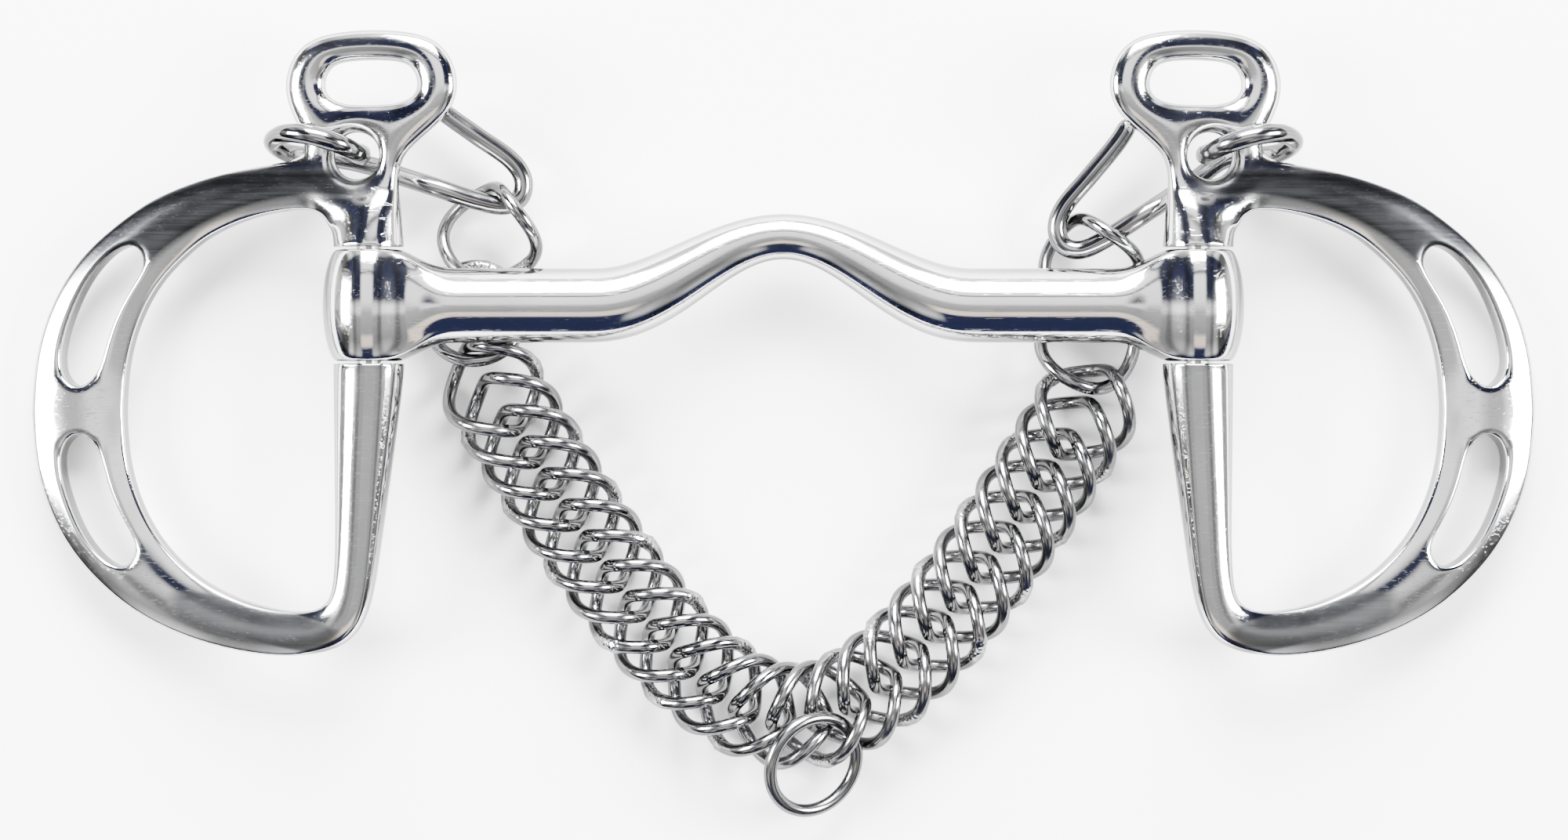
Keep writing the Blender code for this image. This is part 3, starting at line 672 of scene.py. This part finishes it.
def buildCheek(side, cage):
    prefix = "left" if side > 0 else "right"
    pickOnly(cage)
    bpy.ops.object.duplicate()
    piece = bpy.context.object
    subdivide(piece, 3)
    piece.data.transform(Matrix.Diagonal((side, 1, 1, 1)))
    place = Matrix.Translation((-side * spindleX, rowShift, axisHeight))
    piece.data.transform(place @ Matrix.Rotation(-side * cheek["tilt"], 4, "Y"))
    closeUp(piece, 0.000001)
    finishPiece(piece, prefix + "DCheek", polishedSteel, prefix + "_cheek", [prefix + "_cheek"],
                60)
    return piece


cage = buildCage()
for side in (1, -1):
    print(buildCheek(side, cage).name, "made")
bpy.data.objects.remove(cage)


# ---- wire pieces: hooks, chain rings and the lip strap ring

def makeWire(points, radius, closed, thinning=None, sides=5):
    startClean()
    curve = bpy.data.curves.new("wire", "CURVE")
    curve.dimensions = "3D"
    spline = curve.splines.new("POLY")
    spline.points.add(len(points) - 1)
    for index, point in enumerate(points):
        spline.points[index].co = (*point, 1)
        spline.points[index].radius = thinning[index] if thinning else 1.0
    spline.use_cyclic_u = closed
    curve.bevel_depth = radius
    curve.bevel_resolution = sides
    curve.use_fill_caps = not closed
    piece = bpy.data.objects.new("wire", curve)
    bpy.context.scene.collection.objects.link(piece)
    pickOnly(piece)
    bpy.ops.object.convert(target="MESH")
    piece = bpy.context.object
    around = len(piece.data.vertices) // len(points)
    lengths = [0.0]
    for first, second in zip(points, points[1:]):
        lengths.append(lengths[-1] + (Vector(second) - Vector(first)).length)
    place = piece.data.attributes.new("wirePlace", "FLOAT_VECTOR", "POINT")
    for vert in piece.data.vertices:
        station, spoke = min(vert.index // around, len(points) - 1), vert.index % around
        angle = 2 * math.pi * spoke / around
        place.data[vert.index].vector = (radius * math.cos(angle), radius * math.sin(angle), lengths[station])
    piece.data.attributes.new("weld", "FLOAT", "POINT")
    return piece, lengths


weldBead = {"halfLength": 2.7, "swell": 0.2, "lump": 0.24}


def addWeld(piece, points, start, total, seed):      # lumpy bead where the wire's ends were joined
    weld = piece.data.attributes["weld"]
    place = piece.data.attributes["wirePlace"]
    around = len(piece.data.vertices) // len(points)
    for vert in piece.data.vertices:
        along = place.data[vert.index].vector.z - start
        along = min(abs(along), abs(total - abs(along))) / mm
        amount = min(max((weldBead["halfLength"] - along) / 0.7, 0), 1)
        if amount <= 0:
            continue
        weld.data[vert.index].value = amount
        centre = Vector(points[min(vert.index // around, len(points) - 1)])
        out = (vert.co - centre).normalized()
        spot = vert.co / mm * 1.15 + Vector((seed * 7.3, seed, 0))
        lump = noise.noise(spot) * weldBead["lump"] + noise.noise(spot * 2.6) * weldBead["lump"] * 0.5
        vert.co += out * (weldBead["swell"] * 0.6 + lump) * amount * mm


ring = {"radius": 8.0, "wire": 1.11, "pitch": 6.2, "twist": -math.radians(52) / 6.2, "points": 72,
        "height": 5.7, "bottom": (2.0, -68.3), "slope": 2.0, "roundness": 33.0, "leftX": -48.5, "count": 25}
leftEnd = ((-48.7, 11.9, 5.6, -100.1, 9.8, 12.5, -6.7), (-51.5, -1.3, 4.7, -48.8, -10.4, -0.2, -1.8))
rightEnd = ((51.3, 6.9, 4.7, 100.2, -14.6, -16.5, -5.7), (50.9, -6.0, 4.0, 105.2, 9.5, 7.8, -3.6))
leftWelds, rightWelds = (0.9, 2.2), (-1.2, 3.9)


def ringPoints(radius, twist, weldAngle=math.pi / 2):
    points = []
    for index in range(ring["points"]):
        angle = weldAngle + 2 * math.pi * index / ring["points"]
        along, across = radius * math.cos(angle), radius * math.sin(angle)
        turn = twist * along
        points.append(Vector((along, across * math.cos(turn), across * math.sin(turn))) * mm)
    return points


def ringPlace(centre, heading, pitch=0.0, roll=0.0):
    middle = Vector((centre[0] * mm, centre[1] * mm + rowShift, centre[2] * mm))
    turn = (Matrix.Rotation(math.radians(heading), 4, "Z") @ Matrix.Rotation(math.radians(pitch), 4, "Y")
            @ Matrix.Rotation(math.radians(roll), 4, "X"))
    return Matrix.Translation(middle) @ turn


def makeRing(radius, twist, weldAngle, seed, welded=True):
    points = ringPoints(radius, twist, weldAngle)
    piece, lengths = makeWire(points, ring["wire"] * mm, True)
    if welded:
        total = lengths[-1] + (points[0] - points[-1]).length
        addWeld(piece, points, 0.0, total, seed)
    closeUp(piece, 0.000002)
    return piece


def chainStations():           # place and heading of each ring of the run, one pitch apart
    def height(x):
        depth = ring["slope"] * ring["roundness"]
        return ring["bottom"][1] - depth + math.hypot(ring["slope"] * (x - ring["bottom"][0]), depth)
    x, travelled, step, stations = ring["leftX"], ring["pitch"], 0.02, []
    while len(stations) < ring["count"]:
        slope = (height(x + step) - height(x - step)) / (2 * step)
        if travelled >= ring["pitch"]:
            travelled -= ring["pitch"]
            stations.append((x, height(x), math.degrees(math.atan(slope))))
        x += step
        travelled += step * math.hypot(1, slope)
    return stations


def finishRing(piece, number, place):
    piece.data.transform(place)
    finishPiece(piece, "weldedRing%02d" % number, drawnWire, "curb_chain", ["chain_ring_%02d" % number])


def buildChain():
    masters = [makeRing(ring["radius"], ring["twist"], math.pi / 2 + offset, seed)
               for seed, offset in enumerate((0.0, 0.22, -0.25, 0.1, -0.12))]
    number = 0
    for (x, y, z, heading, pitch, roll, twist), weldAngle in zip(leftEnd, leftWelds):
        number += 1
        finishRing(makeRing(ring["radius"], math.radians(twist), weldAngle, number), number,
                   ringPlace((x, y, z), heading, pitch, roll))
    for index, (x, y, heading) in enumerate(chainStations()):
        number += 1
        pickOnly(masters[index % len(masters)])
        bpy.ops.object.duplicate()
        flip = Matrix.Rotation(math.pi * (index % 2), 4, "X")      # the weld alternates from edge to edge
        finishRing(bpy.context.object, number, ringPlace((x, y, ring["height"]), heading) @ flip)
    for (x, y, z, heading, pitch, roll, twist), weldAngle in zip(reversed(rightEnd), rightWelds):
        number += 1
        finishRing(makeRing(ring["radius"], math.radians(twist), weldAngle, number), number,
                   ringPlace((x, y, z), heading, pitch, roll))
    for master in masters:
        bpy.data.objects.remove(master)


buildChain()
print("chain made")

lipRing = {"radius": 8.17, "centre": (5.0, -76.0, 9.0), "turn": (23.3, 21.7, 26.4)}
lipPiece = makeRing(lipRing["radius"], 0.0, 1.8, 9, welded=False)
lipPiece.data.transform(ringPlace(lipRing["centre"], *lipRing["turn"]))
finishPiece(lipPiece, "lipStrapRing", drawnWire, "lip_strap_ring", ["lip_strap_ring"])
print("lip strap ring made")

hook = {"wire": 1.6, "web": (-7.6, 25.3, 0.0),
        "eye": ((-1.2, 24.9, -2.2), (-2.0, 25.2, 1.6), (-4.6, 26.4, 5.2), (-9.2, 27.7, 5.9),
                (-13.4, 28.1, 3.8), (-16.0, 27.1, -1.2), (-14.2, 25.6, -5.8), (-10.0, 25.0, -7.4),
                (-5.0, 24.5, -7.2)),
        "shank": ((0.5, 23.2, -6.6), (5.0, 21.6, -5.6), (10.5, 19.8, -4.4), (17.0, 17.7, -5.2),
                  (21.8, 16.8, -6.2), (24.6, 18.2, -6.6), (25.0, 21.4, -6.6), (22.8, 24.6, -6.4),
                  (17.4, 28.4, -5.8), (11.8, 32.4, -5.4), (8.6, 35.4, -5.0))}


def buildHook(name, side, droop):
    web = Vector(hook["web"])
    turn = Matrix.Rotation(math.radians(droop), 3, "Z")
    rough = [Vector(point) for point in hook["eye"]]
    rough += [web + turn @ (Vector(point) - web) for point in hook["shank"]]
    points = []
    for point in smoothPath(rough, 8):
        points.append(Vector((side * (point.x * mm - spindleX), point.y * mm + rowShift,
                              point.z * mm + axisHeight)))
    count = len(points)
    thinning = [1.0] * count
    for index, part in enumerate((0.35, 0.7, 0.88, 0.96)):           # rounded ends
        thinning[index] = thinning[-1 - index] = part
    piece, lengths = makeWire(points, hook["wire"] * mm, False, thinning, 6)
    addWeld(piece, points, lengths[-1] * 0.02, 10.0, 3)
    closeUp(piece, 0.000002)
    finishPiece(piece, name + "BentHook", drawnWire, name + "_curb_hook", [name + "_curb_hook"])


for name, side, droop in (("left", 1, 0.0), ("right", -1, -15.0)):
    buildHook(name, side, droop)
print("hooks made")

for name in ("left_spindle_pin", "right_spindle_pin"):
    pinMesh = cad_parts[name].data
    pinMesh.materials.clear()
    pinMesh.materials.append(turnedSteel)


# ---- floor, light and camera

floorLook = {"size": 3.0, "colour": (0.93, 0.93, 0.93)}


def buildFloor():
    startClean()
    bpy.ops.mesh.primitive_plane_add(size=floorLook["size"], location=(0, 0, -0.0004))
    floor = bpy.context.object
    floor.name = "studioFloor"
    material = bpy.data.materials.new("paleFloor")
    material.use_nodes = True
    tree = material.node_tree
    shader = tree.nodes["Principled BSDF"]
    shader.inputs["Roughness"].default_value = 0.7
    shader.inputs["Specular IOR Level"].default_value = 0.0
    coords = addNode(tree, "ShaderNodeTexCoord", (-800, 0)).outputs["Object"]
    mottle = addNode(tree, "ShaderNodeTexNoise", (-600, 0), Scale=3.0, Detail=2.0)
    tree.links.new(coords, mottle.inputs["Vector"])
    tree.links.new(addMix(tree, (-300, 0), mottle.outputs["Fac"], (0.92, 0.92, 0.92), floorLook["colour"]),
                   shader.inputs["Base Color"])
    floor.data.materials.append(material)


room = {"white": 2.6, "navy": (0.012, 0.015, 0.04), "grey": 0.42, "warm": (1.0, 0.86, 0.72)}


def buildRoom():               # white studio with a dark doorway low on the near side
    world = bpy.data.worlds.new("studio")
    bpy.context.scene.world = world
    world.use_nodes = True
    tree = world.node_tree
    shader = tree.nodes["Background"]
    coords = addNode(tree, "ShaderNodeTexCoord", (-1600, 0)).outputs["Generated"]
    split = addNode(tree, "ShaderNodeSeparateXYZ", (-1400, 0))
    tree.links.new(coords, split.inputs[0])
    near = addMath(tree, (-1200, 100), "MULTIPLY", split.outputs["Y"], -1.0)
    angle = addMath(tree, (-1000, 100), "ARCTAN2", near, split.outputs["Z"])      # 0 overhead
    share = addMath(tree, (-800, 100), "MULTIPLY_ADD", angle, 1 / (2 * math.pi), 0.5)

    def stop(degrees):
        return 0.5 + degrees / 360
    white, navy, grey = 1.0, room["navy"], room["grey"] * 0.5
    warm = tuple(0.75 * value for value in room["warm"])
    middle = addRamp(tree, (-600, 100), (
        (stop(-100), white), (stop(-30), white), (stop(-27.5), 0.10), (stop(-25.5), 0.10), (stop(-23), white),
        (stop(-3), 0.85), (stop(3), grey * 1.5), (stop(20), grey), (stop(24), warm), (stop(33), warm),
        (stop(38), navy), (stop(96), navy), (stop(104), 0.8)), share)
    side = addRamp(tree, (-600, -200), (
        (stop(-100), 0.9), (stop(-62), 0.8), (stop(-52), navy), (stop(-5), navy), (stop(-1.5), 0.85),
        (stop(0), white), (stop(3), white), (stop(6), 0.3), (stop(30), 0.2), (stop(52), 0.6),
        (stop(68), navy), (stop(96), navy), (stop(104), 0.8)), share)
    out = addMath(tree, (-1000, -300), "ABSOLUTE", split.outputs["X"])
    stands = addRamp(tree, (-800, -700), (
        (0.22, 1.0), (0.30, 0.75), (0.40, 0.75), (0.48, 0.35), (0.55, 0.35),
        (0.61, 1.0), (0.67, 1.0), (0.76, 0.08), (0.88, 0.08), (0.97, 0.6)), out)
    away = addRamp(tree, (-800, -400), ((0.20, 0.0), (0.30, 1.0), (0.78, 1.0), (0.90, 0.3)), out)
    colour = addMix(tree, (-300, 0), away, middle, side)
    shaded = addNode(tree, "ShaderNodeVectorMath", (-140, -100), operation="MULTIPLY")
    tree.links.new(colour, shaded.inputs[0])
    tree.links.new(stands, shaded.inputs[1])
    tree.links.new(shaded.outputs[0], shader.inputs["Color"])
    shader.inputs["Strength"].default_value = room["white"]


lamps = (("softboxFar", (0.0, 1.1, 0.7), 0.8, 150.0), ("softboxLeft", (-1.05, 0.1, 0.7), 0.5, 75.0),
         ("softboxRight", (1.05, 0.1, 0.7), 0.5, 75.0))


def buildLamps():
    for name, place, size, power in lamps:
        light = bpy.data.lights.new(name, "AREA")
        light.size, light.energy = size, power
        lamp = bpy.data.objects.new(name, light)
        bpy.context.scene.collection.objects.link(lamp)
        lamp.location = place
        lamp.rotation_euler = (-Vector(place)).to_track_quat("-Z", "Y").to_euler()


view = {"span": 258.7, "aim": (0.1, -18.9), "distance": 700.0, "sensor": 36.0}


def buildCamera():
    data = bpy.data.cameras.new("overhead")
    data.sensor_width = view["sensor"]
    data.lens = view["sensor"] * view["distance"] / view["span"]
    camera = bpy.data.objects.new("overhead", data)
    bpy.context.scene.collection.objects.link(camera)
    aimX, aimY = view["aim"]
    camera.location = (aimX * mm, aimY * mm + rowShift, axisHeight + view["distance"] * mm)
    bpy.context.scene.camera = camera


startClean()
buildFloor()
buildRoom()
buildLamps()
buildCamera()
print("studio made")

bpy.context.view_layer.update()
